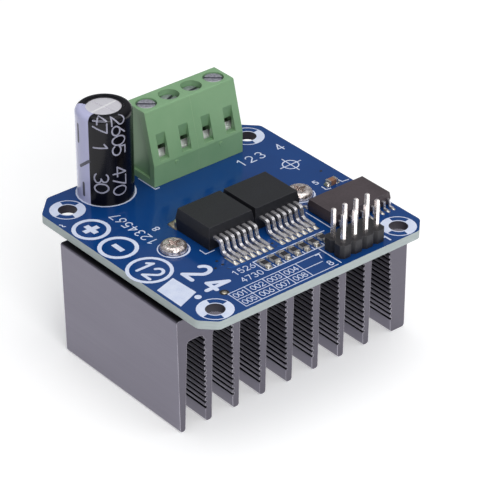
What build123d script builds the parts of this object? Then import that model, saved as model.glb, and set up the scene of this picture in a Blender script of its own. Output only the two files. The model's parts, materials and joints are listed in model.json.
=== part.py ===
from build123d import *
import math
import os

# Dual half-bridge DC motor driver module, in millimetres.
# The origin is in the middle of the plan, at the level of the fin tips. +Z is up.
# -Y is the edge with the pin header, +Y the edge with the screw terminals.

# Heatsink extrusion, drawn in the XZ plane and drawn out along Y
heatsink_width = 52.0
heatsink_length = 32.4
heatsink_height = 22.7
heatsink_centre_y = -2.05
heatsink_base = 4.7
fin_count = 9
left_fin_inset = 6.65        # centre of the second fin, from the left side
right_fin_inset = 9.35       # centre of the last fin but one, from the right side
fin_root_width = 1.9
fin_tip_width = 1.3
left_fin_root_width = 2.1
left_fin_tip_width = 1.55
left_face_lean = 0.45        # the outer left face leans in by this much at the tip
right_fin_root_width = 4.3
right_fin_tip_width = 3.3
slot_root_radius = 0.8
fin_tip_radius = 0.5
groove_pitch = 1.07          # grooves run along the left side of each fin
groove_width = 0.5
groove_depth = 0.34
groove_draft = 0.06
groove_top_margin = 0.95
groove_tip_margin = 1.8
base_corner_radius = 0.4
tapped_hole_diameter = 3.0
tapped_hole_depth = 4.0

# Thermal pad
pad_width = 46.0
pad_length = 29.0
pad_thickness = 0.5
pad_screw_clearance = 0.3

# Circuit board
board_width = 50.0
board_depth = 50.0
board_thickness = 1.6
front_corner_cut = 2.7
back_corner_cut = 4.1
corner_round = 1.5
mounting_hole_diameter = 3.4
mounting_hole_side_inset = 4.5
mounting_hole_front_inset = 3.4
mounting_hole_back_inset = 5.6

# Screws that hold the heatsink
screw_offset_x = 14.2
screw_shift = 0.55           # from the heatsink's middle, towards the header
screw_shank_diameter = 2.9
screw_shank_length = 5.7
screw_head_diameter = 4.8
screw_head_height = 1.25
screw_head_round = 0.8
screw_board_clearance = 0.15
recess_width = 0.75
recess_span = 2.6
recess_depth = 0.85

# Screw terminal, four ways in two housings
way_count = 4
ways_per_housing = 2
way_pitch = 5.08
terminal_side_gap = 8.77     # to the board's right edge
terminal_edge_gap = 0.2      # to the board's back edge
terminal_depth = 9.2
terminal_break_height = 4.3
terminal_front_slope = 2.6   # the front face leans back by this much above the break
terminal_back_slope = 1.0
terminal_shoulder_height = 10.4
terminal_height = 14.1
terminal_edge_radius = 0.3
screw_axis_inset = 3.9       # from the block's back face
cavity_width = 3.95
cavity_front_wall = 2.2
cavity_back_wall = 1.1
pocket_front_wall = 1.4      # below the windows, where the contact stands
cavity_floor = 0.8
cavity_ceiling = 8.6
well_diameter = 3.9
well_floor = 10.9
neck_diameter = 2.9
window_width = 2.1
window_bottom = 4.8
window_middle = 7.1
window_top = 9.7
window_slope_depth = 1.1
entry_width = 3.5
entry_bottom = 1.1
entry_top = 4.9
entry_funnel = 0.35
interlock_depth = 0.45
interlock_clearance = 0.08
interlock_inset = 1.3
gate_mark_diameter = 0.8
gate_mark_height = 0.15
gate_mark_level = 3.5

# Terminal screws, rising clamps and contacts
terminal_shank_diameter = 2.5
terminal_head_diameter = 3.7
terminal_head_height = 2.2
terminal_head_rim = 0.25
terminal_shank_length = 5.95
slot_width = 0.62
slot_depth = 0.9
screw_rise = [0.85, 0.05, 0.05, 0.85]     # each head's height above the well's floor
slot_angle = [-40.0, 22.0, 6.0, -42.0]
clamp_width = 3.7
clamp_length = 3.6
clamp_height = 5.2
clamp_wall = 0.6
clamp_top_wall = 1.2
clamp_floor_gap = 0.2
clamp_corner_radius = 0.4
thread_clearance = 0.05
contact_thickness = 0.8
contact_width = 2.2
contact_plate_width = 3.2
contact_tongue_level = 3.9
contact_lean_level = 4.8     # from here up the plate leans back, behind the window
contact_lean_reach = 0.75
contact_top_level = 5.7
contact_back_gap = 0.5       # from the tongue's end to the cavity's back wall
contact_wall_gap = 0.1
contact_bend = 0.3
contact_pin_width = 1.0
contact_pin_clearance = 0.1

# Electrolytic capacitor
capacitor_side_gap = 2.26    # to the terminal block
capacitor_overhang = 0.25    # past the board's back edge
capacitor_height = 17.4
sleeve_diameter = 10.2
sleeve_thickness = 0.2
sleeve_top_opening = 7.2
sleeve_foot_opening = 8.6
capacitor_shoulder = 1.0
can_gap = 0.03
can_wall = 0.3
score_width = 0.32
score_depth = 0.15
score_span = 6.2
score_angle = 8.0
seal_height = 2.4
seal_lead_clearance = 0.04
winding_clearance = 0.15
winding_top_gap = 0.5
capacitor_lead_diameter = 0.6
capacitor_lead_pitch = 5.0

# Power driver chips
driver_centres_x = {"left": -5.05, "right": 5.25}
driver_front_offset = 4.55   # of the front face from the line of the heatsink screws
driver_width = 10.0
driver_depth = 9.25
driver_height = 4.4
driver_standoff = 0.05
driver_parting = 2.45
driver_top_draft = 9.0
driver_bottom_draft = 4.0
tab_thickness = 1.27
tab_width = 9.6
tab_reach = 1.2
tab_corner_cut = 0.6
tab_inner_width = 8.0
tab_inner_depth = 7.0
driver_lead_count = 7
driver_lead_pitch = 1.27
driver_lead_width = 0.6
driver_lead_thickness = 0.5
driver_lead_inside = 0.9
driver_lead_shoulder = 1.75
driver_lead_knee = 2.25
driver_lead_reach = 5.3
driver_lead_knee_height = 0.38
driver_lead_bend = 0.45

# Logic buffer chip
buffer_side_inset = 7.0
buffer_front_inset = 13.45
buffer_length = 12.8
buffer_width = 7.5
buffer_height = 2.5
buffer_standoff = 0.15
buffer_parting = 1.35
buffer_draft = 8.0
buffer_lead_count = 20
buffer_lead_pitch = 1.27
buffer_lead_width = 0.42
buffer_lead_thickness = 0.25
buffer_lead_inside = 0.5
buffer_lead_shoulder = 0.45
buffer_lead_lean = 0.1
buffer_lead_reach = 1.4
orientation_mark_diameter = 1.0
orientation_mark_depth = 0.1
orientation_mark_inset = 1.2

# Pin header
header_columns = 4
header_rows = 2
header_pitch = 2.54
header_side_gap = 9.26       # to the board's right edge
header_edge_gap = 1.33       # to the board's front edge
header_base_height = 2.54
header_notch = 0.85
header_pin_size = 0.64
header_pin_top = 8.1
header_pin_point = 0.16
header_hole_diameter = 1.02

# Chip resistors and ceramic capacitor
resistor_count = 7
resistor_first_x = -5.4
resistor_pitch = 2.17
resistor_front_inset = 8.7
resistor_length = 2.0
resistor_width = 1.25
resistor_height = 0.5
resistor_end = 0.4
resistor_end_overlap = 0.04
ceramic_side_inset = 3.8
ceramic_y = -3.3
ceramic_length = 2.0
ceramic_width = 1.2
ceramic_height = 0.9
ceramic_end = 0.4

# Through-hole joints under the board
pin_tail = 1.2               # length of a pin below the board
solder_height = 0.9
solder_tip_radius = 0.12     # width of solder left around the pin at the joint's tip
solder_sides = 12
header_pad_radius = 0.88
terminal_pad_radius = 1.25
capacitor_pad_radius = 0.85
hole_clearance = 0.12

# Levels and places that follow from the sizes above
heatsink_top = heatsink_height
board_bottom = heatsink_top + pad_thickness
board_top = board_bottom + board_thickness
slot_root = heatsink_height - heatsink_base
fin_half_width = heatsink_width / 2
fin_pitch = (heatsink_width - left_fin_inset - right_fin_inset) / (fin_count - 3)
tail_level = board_bottom - pin_tail
right_edge = board_width / 2
back_edge = board_depth / 2
front_edge = -board_depth / 2
screw_centre_y = heatsink_centre_y - screw_shift
terminal_length = way_count * way_pitch
terminal_centre_x = right_edge - terminal_side_gap - terminal_length / 2
terminal_back_y = back_edge - terminal_edge_gap
terminal_front_y = terminal_back_y - terminal_depth
terminal_top_front_y = terminal_front_y + terminal_front_slope
terminal_top_back_y = terminal_back_y - terminal_back_slope
screw_axis_y = terminal_back_y - screw_axis_inset
cavity_front_y = terminal_front_y + cavity_front_wall
cavity_back_y = terminal_back_y - cavity_back_wall
pocket_front_y = terminal_front_y + pocket_front_wall
contact_back_y = cavity_back_y - contact_back_gap
capacitor_x = terminal_centre_x - terminal_length / 2 - capacitor_side_gap - sleeve_diameter / 2
capacitor_y = back_edge + capacitor_overhang - sleeve_diameter / 2
driver_front_y = screw_centre_y - driver_front_offset
buffer_x = right_edge - buffer_side_inset
buffer_y = front_edge + buffer_front_inset
header_x = right_edge - header_side_gap - header_columns * header_pitch / 2
header_y = front_edge + header_edge_gap + header_rows * header_pitch / 2
resistor_y = front_edge + resistor_front_inset
ceramic_x = right_edge - ceramic_side_inset
level_tolerance = 0.01


# Place a shape, drawn with the board's top as its zero level, on the board
def on_board(shape):
    return Pos(0, 0, board_top) * shape


# Solid between two corner points
def block(low, high):
    size = [b - a for a, b in zip(low, high)]
    corner = (Align.MIN, Align.MIN, Align.MIN)
    return Pos(*low) * Box(*size, align=corner)


# Vertical cylinder between two levels
def post(radius, x, y, low, high):
    foot = (Align.CENTER, Align.CENTER, Align.MIN)
    return Pos(x, y, low) * Cylinder(radius, high - low, align=foot)


# Points beside a path at a given distance, with square ends and mitred bends
def side_points(path, distance):
    points = []
    for i, (y, z) in enumerate(path):
        before = path[max(i - 1, 0)]
        after = path[min(i + 1, len(path) - 1)]
        turn_in = math.atan2(z - before[1], y - before[0]) if i else None
        turn_out = math.atan2(after[1] - z, after[0] - y) if i < len(path) - 1 else None
        first = turn_out if turn_in is None else turn_in
        last = turn_in if turn_out is None else turn_out
        middle = (first + last) / 2
        reach = distance / math.cos((last - first) / 2)
        points.append((y - reach * math.sin(middle), z + reach * math.cos(middle)))
    return points


# Outline of a strip of sheet metal that follows a path
def strip_outline(path, thickness):
    return side_points(path, thickness / 2) + side_points(path, -thickness / 2)[::-1]


# Strip of sheet metal with rounded bends along a path in the YZ plane
def bent_strip(path, thickness, width, bend):
    radii = [0] + [bend + thickness / 2] * (len(path) - 2) + [0]
    edge = FilletPolyline(*strip_outline(path, thickness), radius=radii + radii[::-1], close=True)
    return extrude(Plane.YZ * make_face(edge), amount=width / 2, both=True)


# Strip of thin sheet metal with sharp bends along a path in the YZ plane
def creased_strip(path, thickness, width):
    edge = Polyline(*strip_outline(path, thickness), close=True)
    return extrude(Plane.YZ * make_face(edge), amount=width / 2, both=True)


# Centre of each fin between the two outer ones
def inner_fin_centre(index):
    return -fin_half_width + left_fin_inset + (index - 1) * fin_pitch


# Left and right limits of a fin at its root or at its tip
def fin_sides(index, at_root):
    if index == 0:
        width = left_fin_root_width if at_root else left_fin_tip_width
        left = -fin_half_width if at_root else -fin_half_width + left_face_lean
        return left, left + width - (0 if at_root else left_face_lean)
    if index == fin_count - 1:
        width = right_fin_root_width if at_root else right_fin_tip_width
        return fin_half_width - width, fin_half_width
    half = (fin_root_width if at_root else fin_tip_width) / 2
    return inner_fin_centre(index) - half, inner_fin_centre(index) + half


# Points down the grooved side of a fin, from its root to the smooth strip at its tip
def grooved_wall(root_x, tip_x):
    def wall_x(z):
        return tip_x + (root_x - tip_x) * z / slot_root

    grooved_height = slot_root - groove_top_margin - groove_tip_margin
    count = int(grooved_height / groove_pitch)
    points = [(root_x, slot_root)]
    for i in range(count):
        high = slot_root - groove_top_margin - i * groove_pitch
        low = high - groove_width
        points.append((wall_x(high), high))
        points.append((wall_x(high) + groove_depth, high - groove_draft))
        points.append((wall_x(low) + groove_depth, low + groove_draft))
        points.append((wall_x(low), low))
    points.append((tip_x, 0))
    return points


# Points of the air slot to the right of a fin, from that fin's tip to the next one's
def slot_outline(index):
    left_root = fin_sides(index, True)[1]
    left_tip = fin_sides(index, False)[1]
    right_root = fin_sides(index + 1, True)[0]
    right_tip = fin_sides(index + 1, False)[0]
    return [(left_tip, 0), (left_root, slot_root)] + grooved_wall(right_root, right_tip)


# Corners of a section that lie at a given height
def corners_at(section, height):
    return [v for v in section.vertices() if abs(v.Y - height) < level_tolerance]


# Heatsink: base, nine fins with grooved sides and two tapped holes
def make_heatsink():
    outline = [(-fin_half_width, heatsink_height), (fin_sides(0, False)[0], 0)]
    for index in range(fin_count - 1):
        outline += slot_outline(index)
    outline += [(fin_half_width, 0), (fin_half_width, heatsink_height)]
    section = make_face(Polyline(*outline, close=True))
    section = fillet(corners_at(section, slot_root), slot_root_radius)
    section = fillet(corners_at(section, 0), fin_tip_radius)
    section = fillet(corners_at(section, heatsink_height), base_corner_radius)
    front = Plane.XZ.offset(-heatsink_centre_y)
    body = extrude(front * section, amount=heatsink_length / 2, both=True)
    for x in (-screw_offset_x, screw_offset_x):
        low = heatsink_top - tapped_hole_depth
        body -= post(tapped_hole_diameter / 2, x, screw_centre_y, low, heatsink_top)
    return body


# Thermal pad: soft sheet with a hole for each screw
def make_thermal_pad():
    half_x = pad_width / 2
    low = (-half_x, heatsink_centre_y - pad_length / 2, heatsink_top)
    high = (half_x, heatsink_centre_y + pad_length / 2, board_bottom)
    pad = block(low, high)
    radius = screw_shank_diameter / 2 + pad_screw_clearance
    for x in (-screw_offset_x, screw_offset_x):
        pad -= post(radius, x, screw_centre_y, heatsink_top, board_bottom)
    return pad


# Places of the header's pins
def header_pins_at():
    places = []
    for column in range(header_columns):
        for row in range(header_rows):
            x = header_x + (column - (header_columns - 1) / 2) * header_pitch
            y = header_y + (row - (header_rows - 1) / 2) * header_pitch
            places.append((x, y))
    return places


# X of the centre of each terminal way
def way_x(index):
    return terminal_centre_x + (index - (way_count - 1) / 2) * way_pitch


# Y of the terminal contact's leg and pin
def contact_leg_y():
    return pocket_front_y + contact_wall_gap + contact_thickness / 2


# Places of the capacitor's two leads
def capacitor_leads_at():
    half = capacitor_lead_pitch / 2
    return [(capacitor_x - half, capacitor_y), (capacitor_x + half, capacitor_y)]


# Circuit board: cut corners, mounting holes, screw holes and plated holes
def make_circuit_board():
    plan = Rectangle(board_width, board_depth)
    plan = chamfer(corners_at(plan, front_edge), front_corner_cut)
    plan = chamfer(corners_at(plan, back_edge), back_corner_cut)
    plan = fillet(plan.vertices(), corner_round)
    board = extrude(Pos(0, 0, board_bottom) * plan, amount=board_thickness)
    hole_x = right_edge - mounting_hole_side_inset
    hole_rows = (front_edge + mounting_hole_front_inset, back_edge - mounting_hole_back_inset)
    holes = [(mounting_hole_diameter / 2, x, y) for x in (-hole_x, hole_x) for y in hole_rows]
    screw_hole = screw_shank_diameter / 2 + screw_board_clearance
    holes += [(screw_hole, x, screw_centre_y) for x in (-screw_offset_x, screw_offset_x)]
    holes += [(header_hole_diameter / 2, x, y) for x, y in header_pins_at()]
    contact_hole = math.hypot(contact_pin_width, contact_thickness) / 2 + hole_clearance
    holes += [(contact_hole, way_x(i), contact_leg_y()) for i in range(way_count)]
    lead_hole = capacitor_lead_diameter / 2 + hole_clearance
    holes += [(lead_hole, x, y) for x, y in capacitor_leads_at()]
    return board - [post(radius, x, y, board_bottom, board_top) for radius, x, y in holes]


# One pan-head screw with a cross recess
def heatsink_screw(x):
    head = post(screw_head_diameter / 2, 0, 0, 0, screw_head_height)
    head = fillet(head.edges().group_by(Axis.Z)[-1], screw_head_round)
    low = screw_head_height - recess_depth
    for span_x, span_y in ((recess_span, recess_width), (recess_width, recess_span)):
        head -= block((-span_x / 2, -span_y / 2, low), (span_x / 2, span_y / 2, screw_head_height))
    shank = post(screw_shank_diameter / 2, 0, 0, -screw_shank_length, 0)
    return on_board(Pos(x, screw_centre_y, 0) * (head + shank))


# Profile of the terminal block, in the YZ plane
def terminal_profile(inset):
    outline = [(terminal_front_y + inset, inset),
               (terminal_front_y + inset, terminal_break_height),
               (terminal_top_front_y + inset, terminal_height - inset),
               (terminal_top_back_y - inset, terminal_height - inset),
               (terminal_back_y - inset, terminal_shoulder_height),
               (terminal_back_y - inset, inset)]
    return make_face(Polyline(*outline, close=True))


# Y of the sloping inner face at a height
def slope_y(height):
    share = (height - terminal_break_height) / (terminal_height - terminal_break_height)
    return terminal_front_y + share * (terminal_top_front_y - terminal_front_y)


# Window in the sloping face of one way: a ramp above, an opening into the cavity below
def window_cut(x):
    ramp_points = [(slope_y(window_top), window_top),
                   (slope_y(window_middle) + window_slope_depth, window_middle),
                   (terminal_front_y, window_middle),
                   (terminal_front_y, window_top)]
    ramp = Plane.YZ * make_face(Polyline(*ramp_points, close=True))
    ramp = Pos(x, 0, 0) * extrude(ramp, amount=window_width / 2, both=True)
    half = window_width / 2
    low = (x - half, terminal_front_y, window_bottom)
    high = (x + half, pocket_front_y, window_middle)
    return ramp + block(low, high)


# Wire entry of one way, with a funnel at its mouth
def entry_cut(x):
    half = entry_width / 2
    passage = block((x - half, cavity_back_y, entry_bottom), (x + half, terminal_back_y, entry_top))
    height = entry_top - entry_bottom
    mouth = Plane.XZ.offset(-terminal_back_y) * Pos(x, (entry_top + entry_bottom) / 2)
    wide = mouth * Rectangle(entry_width + 2 * entry_funnel, height + 2 * entry_funnel)
    narrow = Pos(0, -entry_funnel, 0) * (mouth * Rectangle(entry_width, height))
    return passage + loft([wide.face(), narrow.face()])


# Everything that is hollow in one way of the terminal
def way_cut(x):
    half = cavity_width / 2
    cut = block((x - half, cavity_front_y, cavity_floor), (x + half, cavity_back_y, cavity_ceiling))
    cut += block((x - half, pocket_front_y, cavity_floor), (x + half, cavity_front_y, window_middle))
    cut += post(neck_diameter / 2, x, screw_axis_y, cavity_ceiling, well_floor)
    cut += post(well_diameter / 2, x, screw_axis_y, well_floor, terminal_height)
    slot_x = contact_pin_width / 2 + contact_pin_clearance
    slot_y = contact_thickness / 2 + contact_pin_clearance
    leg_y = contact_leg_y()
    cut += block((x - slot_x, leg_y - slot_y, 0), (x + slot_x, leg_y + slot_y, cavity_floor))
    return cut + window_cut(x) + entry_cut(x)


# Moulded two-way housing: its left side has a recess, its right side the matching boss
def make_terminal_housing(first_way):
    middle = (way_x(first_way) + way_x(first_way + ways_per_housing - 1)) / 2
    half = ways_per_housing * way_pitch / 2
    section = terminal_profile(0)
    upper = [v for v in section.vertices() if v.Y > level_tolerance]
    section = fillet(upper, terminal_edge_radius)
    body = Pos(middle, 0, 0) * extrude(Plane.YZ * section, amount=half, both=True)
    recess = extrude(Plane.YZ * terminal_profile(interlock_inset), amount=interlock_depth)
    body -= Pos(middle - half, 0, 0) * recess
    boss_inset = interlock_inset + interlock_clearance
    boss_height = interlock_depth - interlock_clearance
    boss = extrude(Plane.YZ * terminal_profile(boss_inset), amount=boss_height)
    body += Pos(middle + half, 0, 0) * boss
    for way in range(first_way, first_way + ways_per_housing):
        body -= way_cut(way_x(way))
    front = Plane.XZ.offset(-terminal_front_y)
    mark = front * Pos(middle, gate_mark_level) * Circle(gate_mark_diameter / 2)
    body += extrude(mark, amount=gate_mark_height)
    return on_board(body)


# Slotted screw of one way
def make_terminal_screw(way):
    seat = well_floor + screw_rise[way]
    radius = terminal_head_diameter / 2
    top = seat + terminal_head_height
    head = post(radius, 0, 0, seat, top)
    head = chamfer(head.edges().group_by(Axis.Z)[-1], terminal_head_rim)
    slot = block((-radius, -slot_width / 2, top - slot_depth), (radius, slot_width / 2, top))
    head -= Rot(0, 0, slot_angle[way]) * slot
    shank = post(terminal_shank_diameter / 2, 0, 0, seat - terminal_shank_length, seat)
    return on_board(Pos(way_x(way), screw_axis_y, 0) * (head + shank))


# Folded sleeve that the screw lifts to grip the wire against the tongue
def make_terminal_clamp(way):
    low = cavity_floor + clamp_floor_gap
    outline = RectangleRounded(clamp_width, clamp_height, clamp_corner_radius)
    outer = Pos(0, low + clamp_height / 2) * outline
    opening_height = clamp_height - clamp_wall - clamp_top_wall
    opening_centre = low + clamp_wall + opening_height / 2
    opening = Pos(0, opening_centre) * Rectangle(clamp_width - 2 * clamp_wall, opening_height)
    sleeve = extrude(Plane.XZ * (outer - opening), amount=clamp_length / 2, both=True)
    bore = terminal_shank_diameter / 2 + thread_clearance
    sleeve -= post(bore, 0, 0, low + clamp_height - clamp_top_wall, low + clamp_height)
    return on_board(Pos(way_x(way), screw_axis_y, 0) * sleeve)


# Contact of one way: plate with a leaning top, tongue through the clamp and pin through the board
def terminal_contact(way):
    leg_y = contact_leg_y()
    top_y = leg_y + contact_lean_reach
    path = [(leg_y, cavity_floor), (leg_y, contact_lean_level), (top_y, contact_top_level)]
    plate = bent_strip(path, contact_thickness, contact_plate_width, contact_bend)
    half = contact_width / 2
    tongue_top = contact_tongue_level + contact_thickness
    tongue = block((-half, leg_y, contact_tongue_level), (half, contact_back_y, tongue_top))
    half = contact_pin_width / 2
    low = (-half, leg_y - contact_thickness / 2, tail_level - board_top)
    high = (half, leg_y + contact_thickness / 2, cavity_floor)
    return on_board(Pos(way_x(way), 0, 0) * (plate + tongue + block(low, high)))


# Half outline of the can or of the sleeve: a wall, a round shoulder and a flat top
def cup_outline(radius, foot, top, shoulder, thickness, opening):
    inner = radius - thickness
    under = top - thickness
    bend = shoulder - thickness
    lines = Line((radius, foot), (radius, top - shoulder))
    lines += RadiusArc((radius, top - shoulder), (radius - shoulder, top), -shoulder)
    lines += Polyline((radius - shoulder, top), (opening, top), (opening, under), (inner - bend, under))
    lines += RadiusArc((inner - bend, under), (inner, under - bend), bend)
    lines += Polyline((inner, under - bend), (inner, foot), (radius, foot))
    return Plane.XZ * make_face(lines)


# Stand a shape made around the Z axis at the capacitor's place
def at_capacitor(shape):
    return on_board(Pos(capacitor_x, capacitor_y, 0) * shape)


# Printed shrink sleeve: open over the can's top, turned in under its foot
def make_capacitor_sleeve():
    radius = sleeve_diameter / 2
    opening = sleeve_top_opening / 2
    section = cup_outline(radius, 0, capacitor_height, capacitor_shoulder, sleeve_thickness, opening)
    sleeve = revolve(section, Axis.Z)
    foot = post(radius - sleeve_thickness, 0, 0, 0, sleeve_thickness)
    foot -= post(sleeve_foot_opening / 2, 0, 0, 0, sleeve_thickness)
    return at_capacitor(sleeve + foot)


# Drawn aluminium can, open below, with a scored cross in its top
def make_capacitor_can():
    radius = sleeve_diameter / 2 - sleeve_thickness - can_gap
    foot = sleeve_thickness + can_gap
    top = capacitor_height - sleeve_thickness - can_gap
    shoulder = capacitor_shoulder - sleeve_thickness
    section = cup_outline(radius, foot, top, shoulder, can_wall, 0)
    can = revolve(section, Axis.Z)
    for angle in (score_angle, score_angle + 90):
        half = score_span / 2
        score = block((-half, -score_width / 2, top - score_depth), (half, score_width / 2, top))
        can -= Rot(0, 0, angle) * score
    return at_capacitor(can)


# Inner radius of the can
def can_bore():
    return sleeve_diameter / 2 - sleeve_thickness - can_gap - can_wall


# Rubber bung that closes the can's foot
def make_capacitor_seal():
    foot = sleeve_thickness + can_gap
    seal = post(can_bore() - can_gap, 0, 0, foot, foot + seal_height)
    radius = capacitor_lead_diameter / 2 + seal_lead_clearance
    for side in (-1, 1):
        seal -= post(radius, side * capacitor_lead_pitch / 2, 0, foot, foot + seal_height)
    return at_capacitor(seal)


# Wound foil element inside the can
def make_capacitor_winding():
    low = sleeve_thickness + can_gap + seal_height
    high = capacitor_height - sleeve_thickness - can_gap - can_wall - winding_top_gap
    return at_capacitor(post(can_bore() - winding_clearance, 0, 0, low, high))


# Lead from the winding through the seal and the board
def capacitor_lead(side):
    high = sleeve_thickness + can_gap + seal_height
    low = tail_level - board_top
    x = side * capacitor_lead_pitch / 2
    return at_capacitor(post(capacitor_lead_diameter / 2, x, 0, low, high))


# Formed leads of one driver chip
def driver_leads(side):
    first = driver_centres_x[side] - (driver_lead_count - 1) / 2 * driver_lead_pitch
    foot = driver_lead_thickness / 2
    path = [(driver_front_y + driver_lead_inside, driver_parting),
            (driver_front_y - driver_lead_shoulder, driver_parting),
            (driver_front_y - driver_lead_knee, driver_lead_knee_height),
            (driver_front_y - driver_lead_reach, foot)]
    lead = bent_strip(path, driver_lead_thickness, driver_lead_width, driver_lead_bend)
    return [on_board(Pos(first + i * driver_lead_pitch, 0, 0) * lead) for i in range(driver_lead_count)]


# Metal tab under one driver chip: a wide end behind the body, a narrower pad below it
def driver_tab(side):
    x = driver_centres_x[side]
    back = driver_front_y + driver_depth
    wide = Pos(x, back + tab_reach / 2) * Rectangle(tab_width, tab_reach)
    wide = chamfer([v for v in wide.vertices() if v.Y > back + tab_reach / 2], tab_corner_cut)
    narrow = Pos(x, back - tab_inner_depth / 2) * Rectangle(tab_inner_width, tab_inner_depth)
    return on_board(extrude(wide + narrow, amount=tab_thickness))


# Moulded body of one driver chip, cast round its tab and leads
def make_driver_body(side):
    centre = Pos(driver_centres_x[side], driver_front_y + driver_depth / 2, driver_parting)
    plan = Rectangle(driver_width, driver_depth)
    upper = extrude(centre * plan, amount=driver_height - driver_parting, taper=driver_top_draft)
    lower = extrude(centre * plan, amount=driver_standoff - driver_parting, taper=driver_bottom_draft)
    return on_board(upper + lower) - [driver_tab(side)] - driver_leads(side)


# Formed leads along both long sides of the buffer chip
def buffer_leads():
    leads = []
    per_side = buffer_lead_count // 2
    foot = buffer_lead_thickness / 2
    for direction in (-1, 1):
        edge = buffer_y + direction * buffer_width / 2
        path = [(edge - direction * buffer_lead_inside, buffer_parting),
                (edge + direction * buffer_lead_shoulder, buffer_parting),
                (edge + direction * (buffer_lead_shoulder + buffer_lead_lean), foot),
                (edge + direction * buffer_lead_reach, foot)]
        if direction > 0:
            path = path[::-1]
        lead = creased_strip(path, buffer_lead_thickness, buffer_lead_width)
        first = buffer_x - (per_side - 1) / 2 * buffer_lead_pitch
        leads += [on_board(Pos(first + i * buffer_lead_pitch, 0, 0) * lead) for i in range(per_side)]
    return leads


# Moulded body of the buffer chip with its orientation dimple
def make_buffer_body():
    centre = Pos(buffer_x, buffer_y, buffer_parting)
    plan = Rectangle(buffer_length, buffer_width)
    upper = extrude(centre * plan, amount=buffer_height - buffer_parting, taper=buffer_draft)
    lower = extrude(centre * plan, amount=buffer_standoff - buffer_parting, taper=buffer_draft)
    x = buffer_x - buffer_length / 2 + orientation_mark_inset
    y = buffer_y - buffer_width / 2 + orientation_mark_inset
    low = buffer_height - orientation_mark_depth
    body = upper + lower - post(orientation_mark_diameter / 2, x, y, low, buffer_height)
    return on_board(body) - buffer_leads()


# Moulded base of the header, notched between its positions
def make_header_base():
    length = header_columns * header_pitch
    depth = header_rows * header_pitch
    plan = Rectangle(length, depth)
    notch = Rot(0, 0, 45) * Rectangle(header_notch, header_notch)
    for column in range(header_columns + 1):
        x = (column - header_columns / 2) * header_pitch
        for y in (-depth / 2, depth / 2):
            plan -= Pos(x, y) * notch
    for x in (-length / 2, length / 2):
        plan -= Pos(x, 0) * notch
    base = extrude(Pos(header_x, header_y) * plan, amount=header_base_height)
    for x, y in header_pins_at():
        half = header_pin_size / 2
        base -= block((x - half, y - half, 0), (x + half, y + half, header_base_height))
    return on_board(base)


# Square pin with pointed ends
def header_pin(x, y):
    half = header_pin_size / 2
    pin = block((x - half, y - half, tail_level - board_top), (x + half, y + half, header_pin_top))
    ends = pin.edges().group_by(Axis.Z)
    return on_board(chamfer(ends[0] + ends[-1], header_pin_point))


# Body of one chip part between its two ends, lying along Y or along X
def chip_body(x, y, size, end, turn):
    length, width, height = size
    half = length / 2 - end
    body = block((-width / 2, -half, 0), (width / 2, half, height))
    return on_board(Pos(x, y, 0) * Rot(0, 0, turn) * body)


# Two plated ends of one chip part, a little higher than its body
def chip_ends(x, y, size, end, turn):
    length, width, height = size
    ends = []
    for side in (-1, 1):
        inner = side * (length / 2 - end)
        outer = side * length / 2
        low = (-width / 2, min(inner, outer), 0)
        high = (width / 2, max(inner, outer), height + resistor_end_overlap)
        ends.append(on_board(Pos(x, y, 0) * Rot(0, 0, turn) * block(low, high)))
    return ends


# Flat-sided pin as it passes through the solder under the board
def flat_pin(width, depth):
    return block((-width / 2, -depth / 2, -solder_height), (width / 2, depth / 2, 0))


# Solder cone under the board, round a pin that reaches pin_radius from its axis
def solder_joint(x, y, pad_radius, pin_radius, pin):
    tip = pin_radius + solder_tip_radius
    foot = RegularPolygon(pad_radius, solder_sides)
    point = Pos(0, 0, -solder_height) * RegularPolygon(tip, solder_sides)
    cone = loft([point.face(), foot.face()])
    return Pos(x, y, board_bottom) * (cone - pin)


# All joints on the underside of the board
def make_solder_joints():
    square = flat_pin(header_pin_size, header_pin_size)
    square_reach = math.hypot(header_pin_size, header_pin_size) / 2
    bar = flat_pin(contact_pin_width, contact_thickness)
    bar_reach = math.hypot(contact_pin_width, contact_thickness) / 2
    wire_radius = capacitor_lead_diameter / 2
    wire = post(wire_radius, 0, 0, -solder_height, 0)
    joints = [solder_joint(x, y, header_pad_radius, square_reach, square) for x, y in header_pins_at()]
    for way in range(way_count):
        joints.append(solder_joint(way_x(way), contact_leg_y(), terminal_pad_radius, bar_reach, bar))
    for x, y in capacitor_leads_at():
        joints.append(solder_joint(x, y, capacitor_pad_radius, wire_radius, wire))
    return joints


# Write one sub-part, a solid or a group of separate solids, to its own file
def write(name, shape):
    if isinstance(shape, list):
        shape = Compound(children=[solid for piece in shape for solid in piece.solids()])
    export_step(shape, "parts/" + name + ".step")


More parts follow.
